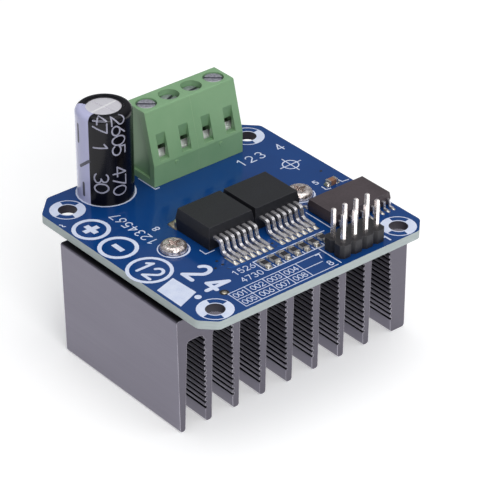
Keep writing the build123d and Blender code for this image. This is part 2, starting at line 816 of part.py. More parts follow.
def main():
    os.makedirs("parts", exist_ok=True)
    write("heatsink", make_heatsink())
    write("thermal_pad", make_thermal_pad())
    write("circuit_board", make_circuit_board())
    write("heatsink_screws", [heatsink_screw(x) for x in (-screw_offset_x, screw_offset_x)])
    write("terminal_housing_left", make_terminal_housing(0))
    write("terminal_housing_right", make_terminal_housing(ways_per_housing))
    for way in range(way_count):
        write("terminal_screw_" + str(way + 1), make_terminal_screw(way))
        write("terminal_clamp_" + str(way + 1), make_terminal_clamp(way))
    write("terminal_contacts", [terminal_contact(way) for way in range(way_count)])
    write("capacitor_can", make_capacitor_can())
    write("capacitor_sleeve", make_capacitor_sleeve())
    write("capacitor_seal", make_capacitor_seal())
    write("capacitor_winding", make_capacitor_winding())
    write("capacitor_leads", [capacitor_lead(side) for side in (-1, 1)])
    for side in driver_centres_x:
        write("driver_body_" + side, make_driver_body(side))
        write("driver_tab_" + side, driver_tab(side))
        write("driver_leads_" + side, driver_leads(side))
    write("buffer_body", make_buffer_body())
    write("buffer_leads", buffer_leads())
    write("header_base", make_header_base())
    write("header_pins", [header_pin(x, y) for x, y in header_pins_at()])
    resistor = (resistor_length, resistor_width, resistor_height)
    bodies = []
    ends = []
    for i in range(resistor_count):
        x = resistor_first_x + i * resistor_pitch
        bodies.append(chip_body(x, resistor_y, resistor, resistor_end, 0))
        ends += chip_ends(x, resistor_y, resistor, resistor_end, 0)
    write("resistor_bodies", bodies)
    write("resistor_ends", ends)
    ceramic = (ceramic_length, ceramic_width, ceramic_height)
    write("ceramic_capacitor_body", chip_body(ceramic_x, ceramic_y, ceramic, ceramic_end, 90))
    write("ceramic_capacitor_ends", chip_ends(ceramic_x, ceramic_y, ceramic, ceramic_end, 90))
    write("solder_joints", make_solder_joints())


main()
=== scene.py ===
import json
import math

import bmesh
import bpy
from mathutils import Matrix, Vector


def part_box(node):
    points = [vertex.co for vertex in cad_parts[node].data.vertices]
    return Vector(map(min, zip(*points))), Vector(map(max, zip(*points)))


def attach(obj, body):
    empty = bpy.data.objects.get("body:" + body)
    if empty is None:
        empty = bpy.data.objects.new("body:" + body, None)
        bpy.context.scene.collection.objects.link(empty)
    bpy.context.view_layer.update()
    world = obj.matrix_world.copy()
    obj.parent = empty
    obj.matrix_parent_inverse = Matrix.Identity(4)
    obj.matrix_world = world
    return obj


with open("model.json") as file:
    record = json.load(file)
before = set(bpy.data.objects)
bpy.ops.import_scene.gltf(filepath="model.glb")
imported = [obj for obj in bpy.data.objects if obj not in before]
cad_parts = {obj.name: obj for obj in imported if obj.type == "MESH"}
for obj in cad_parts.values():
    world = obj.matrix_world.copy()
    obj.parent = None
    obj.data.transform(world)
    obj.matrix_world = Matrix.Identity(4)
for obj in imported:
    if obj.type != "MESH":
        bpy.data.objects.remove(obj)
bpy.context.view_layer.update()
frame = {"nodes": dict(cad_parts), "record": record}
nodes = frame["nodes"]
mm = 0.001
print("frame loaded:", len(nodes), "nodes")


# sRGB hex to the linear colour that a shader takes
def linear(code):
    parts = [int(code[i:i + 2], 16) / 255 for i in (1, 3, 5)]
    return [c / 12.92 if c < 0.04045 else ((c + 0.055) / 1.055) ** 2.4 for c in parts] + [1]


# Adds one node and gives back one of its outputs. Each input, by name or number, is a value to set,
# a hex colour, or a socket to link from.
def addNode(tree, kind, settings={}, inputs={}, output=0):
    node = tree.nodes.new("ShaderNode" + kind)
    for name, value in settings.items():
        setattr(node, name, value)
    for name, value in inputs.items():
        if isinstance(value, bpy.types.NodeSocket):
            tree.links.new(value, node.inputs[name])
        else:
            node.inputs[name].default_value = linear(value) if isinstance(value, str) else value
    return node.outputs[output] if len(node.outputs) else None


# Settings that many nodes share. A Mix of colours takes its share at 0 and its two colours at 6 and 7,
# and gives the result at 2. A Map Range takes a value at 0, its range at 1 and 2, and the new one at 3 and 4.
mixColours = {"data_type": "RGBA"}
multiply = {"operation": "MULTIPLY"}
larger = {"operation": "MAXIMUM"}
noSign = {"operation": "ABSOLUTE"}
dotProduct = {"operation": "DOT_PRODUCT"}


# Starts a material: its tree, its shader and the object's own coordinates in metres
def startMaterial(name, values):
    material = bpy.data.materials.new(name)
    material.use_nodes = True
    tree = material.node_tree
    tree.nodes.clear()
    surface = addNode(tree, "BsdfPrincipled", {}, values)
    addNode(tree, "OutputMaterial", {}, {"Surface": surface})
    return material, tree, surface.node, addNode(tree, "TexCoord", {}, {}, "Object")


# Links what a pattern gives into the shader
def feed(tree, shader, sockets):
    for name, socket in sockets.items():
        tree.links.new(socket, shader.inputs[name])


# Pattern of cells: one side in millimetres, or three of them, where long cells make lines. Real die and
# press lines, mould grit, filler and plating grain are under 0.1 mm, too fine to show in the render, so
# their cells are drawn as coarse as they need to show.
def grain(tree, point, cell, detail=2.0, rough=0.5):
    sides = cell if isinstance(cell, tuple) else (cell,) * 3
    spread = addNode(tree, "VectorMath", multiply, {0: point, 1: [1 / (side * mm) for side in sides]})
    values = {"Vector": spread, "Scale": 1.0, "Detail": detail, "Roughness": rough}
    return addNode(tree, "TexNoise", {}, values)


# Rounded look of an edge, and a mask that is 1 on the edge
def softEdges(tree, radius):
    rounded = addNode(tree, "Bevel", {"samples": 6}, {"Radius": radius * mm})
    flat = addNode(tree, "NewGeometry", {}, {}, "Normal")
    match = addNode(tree, "VectorMath", dotProduct, {0: rounded, 1: flat}, "Value")
    return rounded, addNode(tree, "MapRange", {}, {0: match, 1: 0.998, 2: 0.90})


# Part of the surface's direction along one axis
def direction(tree, axis):
    normal = addNode(tree, "NewGeometry", {}, {}, "Normal")
    return addNode(tree, "SeparateXYZ", {}, {0: normal}, axis)


# upper is painted shade, near black, for the shade under the board's edge; edge is the colour of a painted
# highlight
heatsinkFinish = {
    "body": "#696672", "bodyDark": "#615e6a", "sawn": "#605d67", "sawnDark": "#56535c", "upper": "#1d1b21",
    "edge": "#b4b1bb", "edgeRadius": 0.2, "dieLine": (0.2, 45, 0.2), "sawLine": (9, 4, 0.22),
    "cloud": (7, 22, 7), "smoothest": 0.37, "roughest": 0.44, "relief": 0.0025,
}


# Aluminium extruded, sawn to length and dyed black in the anodising bath: a dark satin metal with long die
# lines and short saw lines on the cut ends. Its upward faces get painted shade, near black, for the shade
# under the board's edge, and its edges get a patchy painted highlight
def makeAnodisedAluminium():
    look = heatsinkFinish
    values = {"Metallic": 0.85, "Roughness": 0.4}
    material, tree, shader, point = startMaterial("anodisedAluminiumExtruded", values)
    dieLines = grain(tree, point, look["dieLine"])
    sawLines = grain(tree, point, look["sawLine"], 3)
    endward = addNode(tree, "Math", noSign, {0: direction(tree, "Y")})
    isEnd = addNode(tree, "MapRange", {}, {0: endward, 1: 0.85, 2: 0.95})
    topShadeMask = addNode(tree, "MapRange", {}, {0: direction(tree, "Z"), 1: 0.7, 2: 0.95})
    lines = addNode(tree, "Mix", {}, {0: isEnd, 2: dieLines, 3: sawLines})
    normal, edge = softEdges(tree, look["edgeRadius"])
    clouds = grain(tree, point, look["cloud"], 3)
    sides = addNode(tree, "Mix", mixColours, {0: clouds, 6: look["bodyDark"], 7: look["body"]}, 2)
    # Painted shade: the upward faces go near black, for the shade under the board's edge
    sides = addNode(tree, "Mix", mixColours, {0: topShadeMask, 6: sides, 7: look["upper"]}, 2)
    ends = addNode(tree, "Mix", mixColours, {0: sawLines, 6: look["sawnDark"], 7: look["sawn"]}, 2)
    body = addNode(tree, "Mix", mixColours, {0: isEnd, 6: sides, 7: ends}, 2)
    # Painted highlight: the edges lighten, in patches, towards the pale edge colour
    patchy = addNode(tree, "MapRange", {}, {0: clouds, 1: 0.35, 2: 0.6, 3: 0.3, 4: 1})
    edgeHighlight = addNode(tree, "Math", multiply, {0: edge, 1: patchy})
    rough = {0: lines, 1: 0.3, 2: 0.7, 3: look["smoothest"], 4: look["roughest"]}
    relief = {"Height": lines, "Distance": look["relief"] * mm, "Normal": normal}
    feed(tree, shader, {
        "Base Color": addNode(tree, "Mix", mixColours, {0: edgeHighlight, 6: body, 7: look["edge"]}, 2),
        "Roughness": addNode(tree, "MapRange", {}, rough),
        "Normal": addNode(tree, "Bump", {}, relief),
    })
    return material


boardFinish = {
    "mask": "#0e4180", "maskDeep": "#0b3772", "edge": "#bfc8c7", "edgeDark": "#a3aeae", "bore": "#34313a",
    "clothThread": 0.55, "edgeLayer": (2.5, 2.5, 0.2), "cloud": 6, "outline": 24.3, "cornerOutline": 45.3,
    "outlineBlur": 0.1, "gloss": 0.12, "sawnGloss": 0.65, "relief": 0.0012,
}


# Glass epoxy board under blue solder mask: lacquer glossy enough to mirror what stands on it, over
# a faint cloth weave; routed sides that show the pale laminate in layers, and dark drilled holes
def makeSolderMaskBoard():
    look = boardFinish
    values = {"Roughness": look["gloss"], "IOR": 1.4}
    material, tree, shader, point = startMaterial("glassEpoxySolderMask", values)
    parts = addNode(tree, "SeparateXYZ", {}, {0: point}).node.outputs
    threads, reach = [], []
    for axis in ("X", "Y"):
        phase = addNode(tree, "Math", multiply, {0: parts[axis], 1: 2 * math.pi / (look["clothThread"] * mm)})
        threads.append(addNode(tree, "Math", {"operation": "SINE"}, {0: phase}))
        reach.append(addNode(tree, "Math", noSign, {0: parts[axis]}))
    weave = addNode(tree, "Math", multiply, {0: threads[0], 1: threads[1]})
    # The routed sides lie beyond one of these two lengths, and the walls of the holes within both
    straight = addNode(tree, "Math", larger, {0: reach[0], 1: reach[1]})
    corner = addNode(tree, "Math", {"operation": "ADD"}, {0: reach[0], 1: reach[1]})
    past = []
    for length, limit in ((straight, look["outline"]), (corner, look["cornerOutline"])):
        past.append(addNode(tree, "MapRange", {}, {
            0: length, 1: (limit - look["outlineBlur"]) * mm, 2: limit * mm}))
    isOutline = addNode(tree, "Math", larger, {0: past[0], 1: past[1]})
    upright = addNode(tree, "Math", noSign, {0: direction(tree, "Z")})
    isFace = addNode(tree, "MapRange", {}, {0: upright, 1: 0.4, 2: 0.6})
    clouds = grain(tree, point, look["cloud"], 4)
    layers = grain(tree, point, look["edgeLayer"], 3)
    face = addNode(tree, "Mix", mixColours, {0: clouds, 6: look["maskDeep"], 7: look["mask"]}, 2)
    edge = addNode(tree, "Mix", mixColours, {0: layers, 6: look["edgeDark"], 7: look["edge"]}, 2)
    side = addNode(tree, "Mix", mixColours, {0: isOutline, 6: look["bore"], 7: edge}, 2)
    height = addNode(tree, "Mix", {}, {0: isFace, 2: layers, 3: weave})
    feed(tree, shader, {
        "Base Color": addNode(tree, "Mix", mixColours, {0: isFace, 6: side, 7: face}, 2),
        "Roughness": addNode(tree, "MapRange", {}, {0: isFace, 3: look["sawnGloss"], 4: look["gloss"]}),
        "Normal": addNode(tree, "Bump", {}, {"Height": height, "Distance": look["relief"] * mm}),
    })
    return material


# Surface of two shades in cells, over a relief of its own: cell and grit in millimetres
def makeSpeckled(look):
    material, tree, shader, point = startMaterial(look["name"], look["values"])
    cells = grain(tree, point, look["cell"], look["detail"], look.get("harshness", 0.5))
    grit = grain(tree, point, look["grit"]) if "grit" in look else cells
    feed(tree, shader, {
        "Base Color": addNode(tree, "Mix", mixColours, {0: cells, 6: look["dark"], 7: look["light"]}, 2),
        "Normal": addNode(tree, "Bump", {}, {"Height": grit, "Distance": look["relief"] * mm}),
    })
    return material


# Copper track under the same lacquer: a shade lighter than the bare laminate round it
trackFinish = {"name": "solderMaskOverCopper", "dark": "#194b8d", "light": "#1f5497", "cell": 4, "detail": 4,
               "grit": 0.3, "relief": 0.004, "values": {"Roughness": 0.14, "IOR": 1.4}}
# Fired ceramic: matt brown, speckled by its powder
ceramicFinish = {"name": "firedCeramicBrown", "dark": "#6d4932", "light": "#a0755a", "cell": 0.14,
                 "detail": 4, "harshness": 0.7, "relief": 0.012, "values": {"Roughness": 0.5, "IOR": 1.6}}
# Silicone sheet: matt and even grey, with the fine texture of the rolled sheet
padFinish = {"name": "siliconeSheet", "dark": "#8f9193", "light": "#a6a8aa", "cell": 0.3, "detail": 3,
             "relief": 0.02, "values": {"Roughness": 0.8, "IOR": 1.45, "Sheen Weight": 0.1}}
# Moulded rubber: matt black, with the texture of its mould
sealFinish = {"name": "mouldedRubber", "dark": "#131313", "light": "#232323", "cell": 0.25, "detail": 3,
              "relief": 0.02, "values": {"Roughness": 0.8, "IOR": 1.45, "Sheen Weight": 0.1}}

boardInk = {"name": "screenPrintedInk", "dark": "#c0cbe6", "light": "#e2e8f7", "under": "#5577ac"}
numberInk = {"name": "rollerPrintedInk", "dark": "#8d8d9e", "light": "#b6b6c6", "under": "#33323c"}
dashInk = {"name": "rollerPrintedInkDark", "dark": "#3c3c48", "light": "#555562", "under": "#8c8c9c"}
inkGrain = {"pinhole": 0.16, "pinholeShare": 0.55, "cloud": 1.8, "grit": 0.2, "relief": 0.008}


# Printed ink: matt, with a cold tint, thin enough for what is under it to show at pinholes
def makePrintInk(look):
    material, tree, shader, point = startMaterial(look["name"], {"Roughness": 0.55, "IOR": 1.48})
    holes = grain(tree, point, inkGrain["pinhole"], 3)
    holes = addNode(tree, "MapRange", {}, {0: holes, 1: 0.62, 2: 0.74, 4: inkGrain["pinholeShare"]})
    clouds = grain(tree, point, inkGrain["cloud"])
    grit = grain(tree, point, inkGrain["grit"])
    ink = addNode(tree, "Mix", mixColours, {0: clouds, 6: look["dark"], 7: look["light"]}, 2)
    feed(tree, shader, {
        "Base Color": addNode(tree, "Mix", mixColours, {0: holes, 6: ink, 7: look["under"]}, 2),
        "Normal": addNode(tree, "Bump", {}, {"Height": grit, "Distance": inkGrain["relief"] * mm}),
    })
    return material


# Polyamide of the terminal: satin green, with a painted highlight that turns its edges pale
terminalPlastic = {"name": "polyamideMoulded", "dark": "#769f76", "light": "#87ac83", "edge": "#a9cc95",
                   "edgeShare": 0.4, "edgeRadius": 0.1, "roughness": 0.4, "grit": 0.2, "relief": 0.012}
# Epoxy of the driver chips: nearly black, matt with filler
chipEpoxy = {"name": "epoxyMoulded", "dark": "#0f1014", "light": "#191a20", "edge": "#43424a",
             "edgeShare": 0.6, "edgeRadius": 0.16, "roughness": 0.5, "grit": 0.14, "relief": 0.012}
# Epoxy of the buffer chip, another batch: a shade lighter and browner
bufferEpoxy = {"name": "epoxyMouldedBrown", "dark": "#342c2f", "light": "#4f4549", "edge": "#615960",
               "edgeShare": 0.6, "edgeRadius": 0.16, "roughness": 0.5, "grit": 0.45, "relief": 0.012}
# Polyester of the header's base: black, satin
headerPlastic = {"name": "polyesterMoulded", "dark": "#1a191c", "light": "#242327", "edge": "#4a484e",
                 "edgeShare": 0.6, "edgeRadius": 0.16, "roughness": 0.45, "grit": 0.2, "relief": 0.01}


# Moulded plastic: spark-eroded grit from the mould, satin, lighter where edges catch light
def makeMouldedPlastic(look):
    rough = look["roughness"]
    material, tree, shader, point = startMaterial(look["name"], {"Roughness": rough, "IOR": 1.46})
    clouds = grain(tree, point, 5, 3)
    grit = grain(tree, point, look["grit"], 3)
    normal, rim = softEdges(tree, look["edgeRadius"])
    body = addNode(tree, "Mix", mixColours, {0: clouds, 6: look["dark"], 7: look["light"]}, 2)
    tint = addNode(tree, "MapRange", {}, {0: rim, 4: look["edgeShare"]})
    pits = {0: grit, 1: 0.3, 2: 0.7, 3: rough - 0.06, 4: rough + 0.1}
    relief = {"Height": grit, "Distance": look["relief"] * mm, "Normal": normal}
    feed(tree, shader, {
        "Base Color": addNode(tree, "Mix", mixColours, {0: tint, 6: body, 7: look["edge"]}, 2),
        "Roughness": addNode(tree, "MapRange", {}, pits),
        "Normal": addNode(tree, "Bump", {}, relief),
    })
    return material


# Nickel on the heatsink screws: warm and pitted, as if lightly corroded, its mottle running up to near-white
# spots that are painted glints
screwNickel = {"name": "nickelPlatedSteel", "dark": "#9a8b87", "light": "#fff6f2", "metallic": 0.85,
               "roughness": 0.2, "mottle": 0.6, "relief": 0.14, "edgeRadius": 0.08}
# Zinc on the terminal screws: bluish grey and spangled
screwZinc = {"name": "zincPlatedSteel", "dark": "#a9a9b4", "light": "#dcdce4", "metallic": 1.0,
             "roughness": 0.34, "mottle": 0.45, "relief": 0.02, "edgeRadius": 0.08}
# Nickel on the folded cages: even and bright
clampNickel = {"name": "nickelPlatedClamp", "dark": "#b5b4b0", "light": "#f4f3ef", "metallic": 1.0,
               "roughness": 0.2, "mottle": 0.6, "relief": 0.01, "edgeRadius": 0.08}
# Tin on the stamped contacts: white and dull
contactTin = {"name": "tinPlatedBrass", "dark": "#e4e3e1", "light": "#ffffff", "metallic": 0.75,
              "roughness": 0.32, "mottle": 0.5, "relief": 0.01, "edgeRadius": 0.08}
# Tin on the formed leads: grey and satin
leadTin = {"name": "tinPlatedCopperAlloy", "dark": "#b4b2b4", "light": "#efedf1", "metallic": 0.8,
           "roughness": 0.26, "mottle": 0.5, "relief": 0.02, "edgeRadius": 0.08}
# Tin on the driver chips' tabs: yellowed by the heat of soldering
tabTin = {"name": "tinPlatedCopper", "dark": "#a59b86", "light": "#d8d0bd", "metallic": 1.0,
          "roughness": 0.32, "mottle": 0.6, "relief": 0.02, "edgeRadius": 0.08}
# Plating on the header's pins: smooth and nearly a mirror
pinPlating = {"name": "platedBrass", "dark": "#ece4e2", "light": "#fffaf8", "metallic": 0.9,
              "roughness": 0.16, "mottle": 0.8, "relief": 0.003, "edgeRadius": 0.03}
# Solder melted in the oven: bright, with dull grains where it froze
solderFinish = {"name": "reflowedSolder", "dark": "#97928b", "light": "#e8e5df", "metallic": 0.9,
                "roughness": 0.24, "mottle": 0.3, "relief": 0.04, "edgeRadius": 0.08}
# Painted highlight for the score on the can's top: white and rough, where light catches the groove's edge
scoreHighlightFinish = {"name": "paintedScoreHighlight", "dark": "#f1f0f4", "light": "#ffffff", "metallic": 0.3,
                "roughness": 0.5, "mottle": 0.3, "relief": 0.01, "edgeRadius": 0.08}


# Metal with a plated or worked surface: a mottled deposit, darker and rougher in the pits; a dull one is
# less than fully metallic
def makePlatedMetal(look):
    rough = look["roughness"]
    values = {"Metallic": look["metallic"], "Roughness": rough}
    material, tree, shader, point = startMaterial(look["name"], values)
    clouds = grain(tree, point, look["mottle"], 4, 0.6)
    normal, rim = softEdges(tree, look["edgeRadius"])
    spots = addNode(tree, "MapRange", {}, {0: clouds, 1: 0.35, 2: 0.65})
    body = addNode(tree, "Mix", mixColours, {0: spots, 6: look["dark"], 7: look["light"]}, 2)
    # Painted highlight: the edges lighten towards the light shade
    edgeHighlight = addNode(tree, "MapRange", {}, {0: rim, 4: 0.6})
    pits = {0: clouds, 1: 0.3, 2: 0.7, 3: rough + 0.1, 4: rough - 0.06}
    relief = {"Height": clouds, "Distance": look["relief"] * mm, "Normal": normal}
    feed(tree, shader, {
        "Base Color": addNode(tree, "Mix", mixColours, {0: edgeHighlight, 6: body, 7: look["light"]}, 2),
        "Roughness": addNode(tree, "MapRange", {}, pits),
        "Normal": addNode(tree, "Bump", {}, relief),
    })
    return material


sleeveFinish = {"film": "#0e0d14", "filmDark": "#08080d", "cloud": (3, 3, 6), "stripe": "#b9bada",
                "stripeCentre": 165.5, "stripeHalf": 35.5, "stripeBlur": 0.004, "wrinkle": (1.6, 1.6, 0.5),
                "relief": 0.012}
sleeveLow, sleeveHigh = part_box("capacitor_sleeve")
capacitorAxis = ((sleeveLow[0] + sleeveHigh[0]) / 2, (sleeveLow[1] + sleeveHigh[1]) / 2)


# Shrunk PVC film with a printed polarity stripe: glossy, nearly black, faint wrinkles from shrinking
def makeShrinkFilm():
    look = sleeveFinish
    material, tree, shader, point = startMaterial("shrinkFilmPrinted", {"Roughness": 0.2, "IOR": 1.3})
    centred = addNode(tree, "VectorMath", {"operation": "SUBTRACT"}, {0: point, 1: (*capacitorAxis, 0)})
    level = addNode(tree, "VectorMath", multiply, {0: centred, 1: (1, 1, 0)})
    outward = addNode(tree, "VectorMath", {"operation": "NORMALIZE"}, {0: level})
    turn = math.radians(look["stripeCentre"])
    middle = (math.cos(turn), math.sin(turn), 0)
    match = addNode(tree, "VectorMath", dotProduct, {0: outward, 1: middle}, "Value")
    limit = math.cos(math.radians(look["stripeHalf"]))
    blur = {0: match, 1: limit - look["stripeBlur"], 2: limit + look["stripeBlur"]}
    isStripe = addNode(tree, "MapRange", {}, blur)
    clouds = grain(tree, point, look["cloud"], 3)
    wrinkles = grain(tree, point, look["wrinkle"])
    film = addNode(tree, "Mix", mixColours, {0: clouds, 6: look["filmDark"], 7: look["film"]}, 2)
    feed(tree, shader, {
        "Base Color": addNode(tree, "Mix", mixColours, {0: isStripe, 6: film, 7: look["stripe"]}, 2),
        "Normal": addNode(tree, "Bump", {}, {"Height": wrinkles, "Distance": look["relief"] * mm}),
    })
    return material


canFinish = {"dark": "#dedce4", "light": "#f8f6fb", "edge": "#ffffff", "edgeRadius": 0.08,
             "pressLine": (0.1, 6, 2), "relief": 0.008}


# Drawn and etched aluminium: pale satin metal with fine lines from the press, dulled by its oxide
def makeDrawnAluminium():
    look = canFinish
    material, tree, shader, point = startMaterial("drawnAluminium", {"Metallic": 0.6, "Roughness": 0.42})
    lines = grain(tree, point, look["pressLine"], 2)
    normal, rim = softEdges(tree, look["edgeRadius"])
    body = addNode(tree, "Mix", mixColours, {0: lines, 6: look["dark"], 7: look["light"]}, 2)
    relief = {"Height": lines, "Distance": look["relief"] * mm, "Normal": normal}
    # Painted highlight: the edges turn white
    feed(tree, shader, {
        "Base Color": addNode(tree, "Mix", mixColours, {0: rim, 6: body, 7: look["edge"]}, 2),
        "Normal": addNode(tree, "Bump", {}, relief),
    })
    return material


resistorFinish = {"glaze": "#25232b", "glazeDark": "#17161b", "alumina": "#c9c6c0", "cell": 0.3,
                  "relief": 0.01}


# Glazed alumina: black glass on top of a white body that shows at the sides
def makeGlazedAlumina():
    look = resistorFinish
    material, tree, shader, point = startMaterial("glazedAlumina", {"Roughness": 0.25, "IOR": 1.52})
    clouds = grain(tree, point, look["cell"], 3)
    glaze = addNode(tree, "Mix", mixColours, {0: clouds, 6: look["glazeDark"], 7: look["glaze"]}, 2)
    upright = addNode(tree, "Math", noSign, {0: direction(tree, "Z")})
    isTop = addNode(tree, "MapRange", {}, {0: upright, 1: 0.5, 2: 0.7})
    feed(tree, shader, {
        "Base Color": addNode(tree, "Mix", mixColours, {0: isTop, 6: look["alumina"], 7: glaze}, 2),
        "Normal": addNode(tree, "Bump", {}, {"Height": clouds, "Distance": look["relief"] * mm}),
    })
    return material


finishes = {
    "heatsink_black": makeAnodisedAluminium(),
    "thermal_pad": makeSpeckled(padFinish),
    "board_blue": makeSolderMaskBoard(),
    "screw_nickel": makePlatedMetal(screwNickel),
    "terminal_green": makeMouldedPlastic(terminalPlastic),
    "terminal_screw_zinc": makePlatedMetal(screwZinc),
    "clamp_nickel": makePlatedMetal(clampNickel),
    "contact_tin": makePlatedMetal(contactTin),
    "capacitor_sleeve": makeShrinkFilm(),
    "capacitor_aluminium": makeDrawnAluminium(),
    "capacitor_seal": makeSpeckled(sealFinish),
    "capacitor_foil": makeDrawnAluminium(),
    "lead_tin": makePlatedMetal(leadTin),
    "chip_black": makeMouldedPlastic(chipEpoxy),
    "tab_tin": makePlatedMetal(tabTin),
    "header_black": makeMouldedPlastic(headerPlastic),
    "pin_plated": makePlatedMetal(pinPlating),
    "resistor_black": makeGlazedAlumina(),
    "ceramic_brown": makeSpeckled(ceramicFinish),
    "solder": makePlatedMetal(solderFinish),
}
printInk = makePrintInk(boardInk)
sleeveInk = makePrintInk(numberInk)
stripeInk = makePrintInk(dashInk)
maskedCopper = makeSpeckled(trackFinish)
paintedScoreHighlight = makePlatedMetal(scoreHighlightFinish)
for part in frame["record"]["subparts"]:
    for holder in nodes[part["node"]].material_slots:
        holder.material = finishes[part["material_slot"]]
bufferMaterial = makeMouldedPlastic(bufferEpoxy)
for holder in nodes["buffer_body"].material_slots:
    holder.material = bufferMaterial
print("materials made:", len(finishes))

boardLow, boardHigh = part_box("circuit_board")
screwsLow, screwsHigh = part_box("heatsink_screws")
board = {"top": boardHigh[2] / mm, "under": boardLow[2] / mm}


# Point on the board, in millimetres from its middle, at a height over its top
def onBoard(x, y, height):
    return Vector((x * mm, y * mm, (board["top"] + height) * mm))


# The same on the underside, where height goes down
def underBoard(x, y, height):
    return Vector((x * mm, y * mm, (board["under"] - height) * mm))


sleeveShape = {"radius": (sleeveHigh[0] - sleeveLow[0]) / 2 / mm, "top": sleeveHigh[2] / mm, "shoulder": 1.0,
               "inkLoss": 0.9}


# Point on the capacitor's sleeve: millimetres round from the stripe's centre, and up along the film,
# which turns over the can's shoulder and runs inward on its top
def onSleeve(around, up, height):
    shoulder = sleeveShape["shoulder"]
    straight = sleeveShape["top"] - board["top"] - shoulder
    bend = min(max((up - straight) / shoulder, 0), math.pi / 2)
    beyondBend = max(up - straight - shoulder * math.pi / 2, 0)
    # The ink thins out towards the top, which is the object's highest level
    height *= 1 - sleeveShape["inkLoss"] * bend / (math.pi / 2)
    radius = sleeveShape["radius"] - shoulder + (shoulder + height) * math.cos(bend) - beyondBend
    level = board["top"] + min(up, straight) + (shoulder + height) * math.sin(bend)
    angle = math.radians(sleeveFinish["stripeCentre"]) + around / sleeveShape["radius"]
    middle = Vector((capacitorAxis[0], capacitorAxis[1], 0))
    return middle + Vector((radius * math.cos(angle), radius * math.sin(angle), level)) * mm


# Closed band between pairs of points, with a flat top and bottom
def addBand(mesh, pairs, place, low, high, closed=False):
    rows = []
    for left, right in pairs:
        corners = [place(*left, low), place(*right, low), place(*right, high), place(*left, high)]
        rows.append([mesh.verts.new(corner) for corner in corners])
    count = len(rows)
    for i in range(count if closed else count - 1):
        here, after = rows[i], rows[(i + 1) % count]
        for k in range(4):
            mesh.faces.new((here[k], here[(k + 1) % 4], after[(k + 1) % 4], after[k]))
    if not closed:
        mesh.faces.new(rows[0][::-1])
        mesh.faces.new(rows[-1])


# Unit vector in the plane between two points
def heading(a, b):
    length = math.hypot(b[0] - a[0], b[1] - a[1])
    return (b[0] - a[0]) / length, (b[1] - a[1]) / length


# The same path with points close enough together to follow a curved face
def closeUp(path, step):
    points = [path[0]]
    for a, b in zip(path, path[1:]):
        parts = max(1, math.ceil(math.hypot(b[0] - a[0], b[1] - a[1]) / step))
        points += [(a[0] + (b[0] - a[0]) * i / parts, a[1] + (b[1] - a[1]) * i / parts)
                   for i in range(1, parts + 1)]
    return points


capAngles = (30, 60, 85)  # where a round end has its corners
mitreLimit = 0.5          # how far a sharp corner may widen a line, as a cosine


# Pairs of points on both sides of an open line, with round or square ends
def strokePairs(path, width, roundEnds=True):
    half = width / 2
    pairs = []
    for i, spot in enumerate(path):
        into = heading(path[i - 1], spot) if i else heading(spot, path[1])
        out = heading(spot, path[i + 1]) if i < len(path) - 1 else into
        middle = (into[0] + out[0], into[1] + out[1])
        size = math.hypot(*middle) or 1
        along = (middle[0] / size, middle[1] / size)
        turn = max(mitreLimit, along[0] * into[0] + along[1] * into[1])
        side = (-along[1] * half / turn, along[0] * half / turn)
        pairs.append(((spot[0] + side[0], spot[1] + side[1]), (spot[0] - side[0], spot[1] - side[1])))
    if not roundEnds:
        return pairs
    ends = []
    for spot, way in ((path[0], heading(path[1], path[0])), (path[-1], heading(path[-2], path[-1]))):
        cap = []
        for angle in capAngles:
            forward = half * math.sin(math.radians(angle))
            across = half * math.cos(math.radians(angle))
            centre = (spot[0] + way[0] * forward, spot[1] + way[1] * forward)
            cap.append(((centre[0] - way[1] * across, centre[1] + way[0] * across),
                        (centre[0] + way[1] * across, centre[1] - way[0] * across)))
        ends.append(cap)
    start = [(right, left) for left, right in ends[0]][::-1]
    return start + pairs + ends[1]


# Line of a given width, from the surface up to a height
def addLine(mesh, place, path, width, high, roundEnds=True):
    addBand(mesh, strokePairs(path, width, roundEnds), place, 0, high)


arcStep = 15  # degrees between points


# Points along part of an ellipse, angles in degrees
def arc(x, y, radiusX, radiusY, start, end):
    steps = max(4, round(abs(end - start) / arcStep))
    turns = [math.radians(start + (end - start) * i / steps) for i in range(steps + 1)]
    return [(x + radiusX * math.cos(turn), y + radiusY * math.sin(turn)) for turn in turns]


# Part of a flat ring, from one angle to another
def addSector(mesh, place, centre, inner, outer, start, end, low, high):
    inside = arc(*centre, inner, inner, start, end)
    outside = arc(*centre, outer, outer, start, end)
    addBand(mesh, list(zip(outside, inside)), place, low, high)


# Whole flat ring
def addRing(mesh, place, centre, diameter, stroke, low, high):
    outside = arc(*centre, diameter / 2, diameter / 2, 0, 360)[:-1]
    inside = arc(*centre, diameter / 2 - stroke, diameter / 2 - stroke, 0, 360)[:-1]
    addBand(mesh, list(zip(outside, inside)), place, low, high, True)


# Flat disc
def addDisc(mesh, place, centre, diameter, low, high):
    outline = arc(*centre, diameter / 2, diameter / 2, 0, 360)[:-1]
    lower = [mesh.verts.new(place(*spot, low)) for spot in outline]
    upper = [mesh.verts.new(place(*spot, high)) for spot in outline]
    mesh.faces.new(lower[::-1])
    mesh.faces.new(upper)
    for i in range(len(outline)):
        after = (i + 1) % len(outline)
        mesh.faces.new((lower[i], lower[after], upper[after], upper[i]))


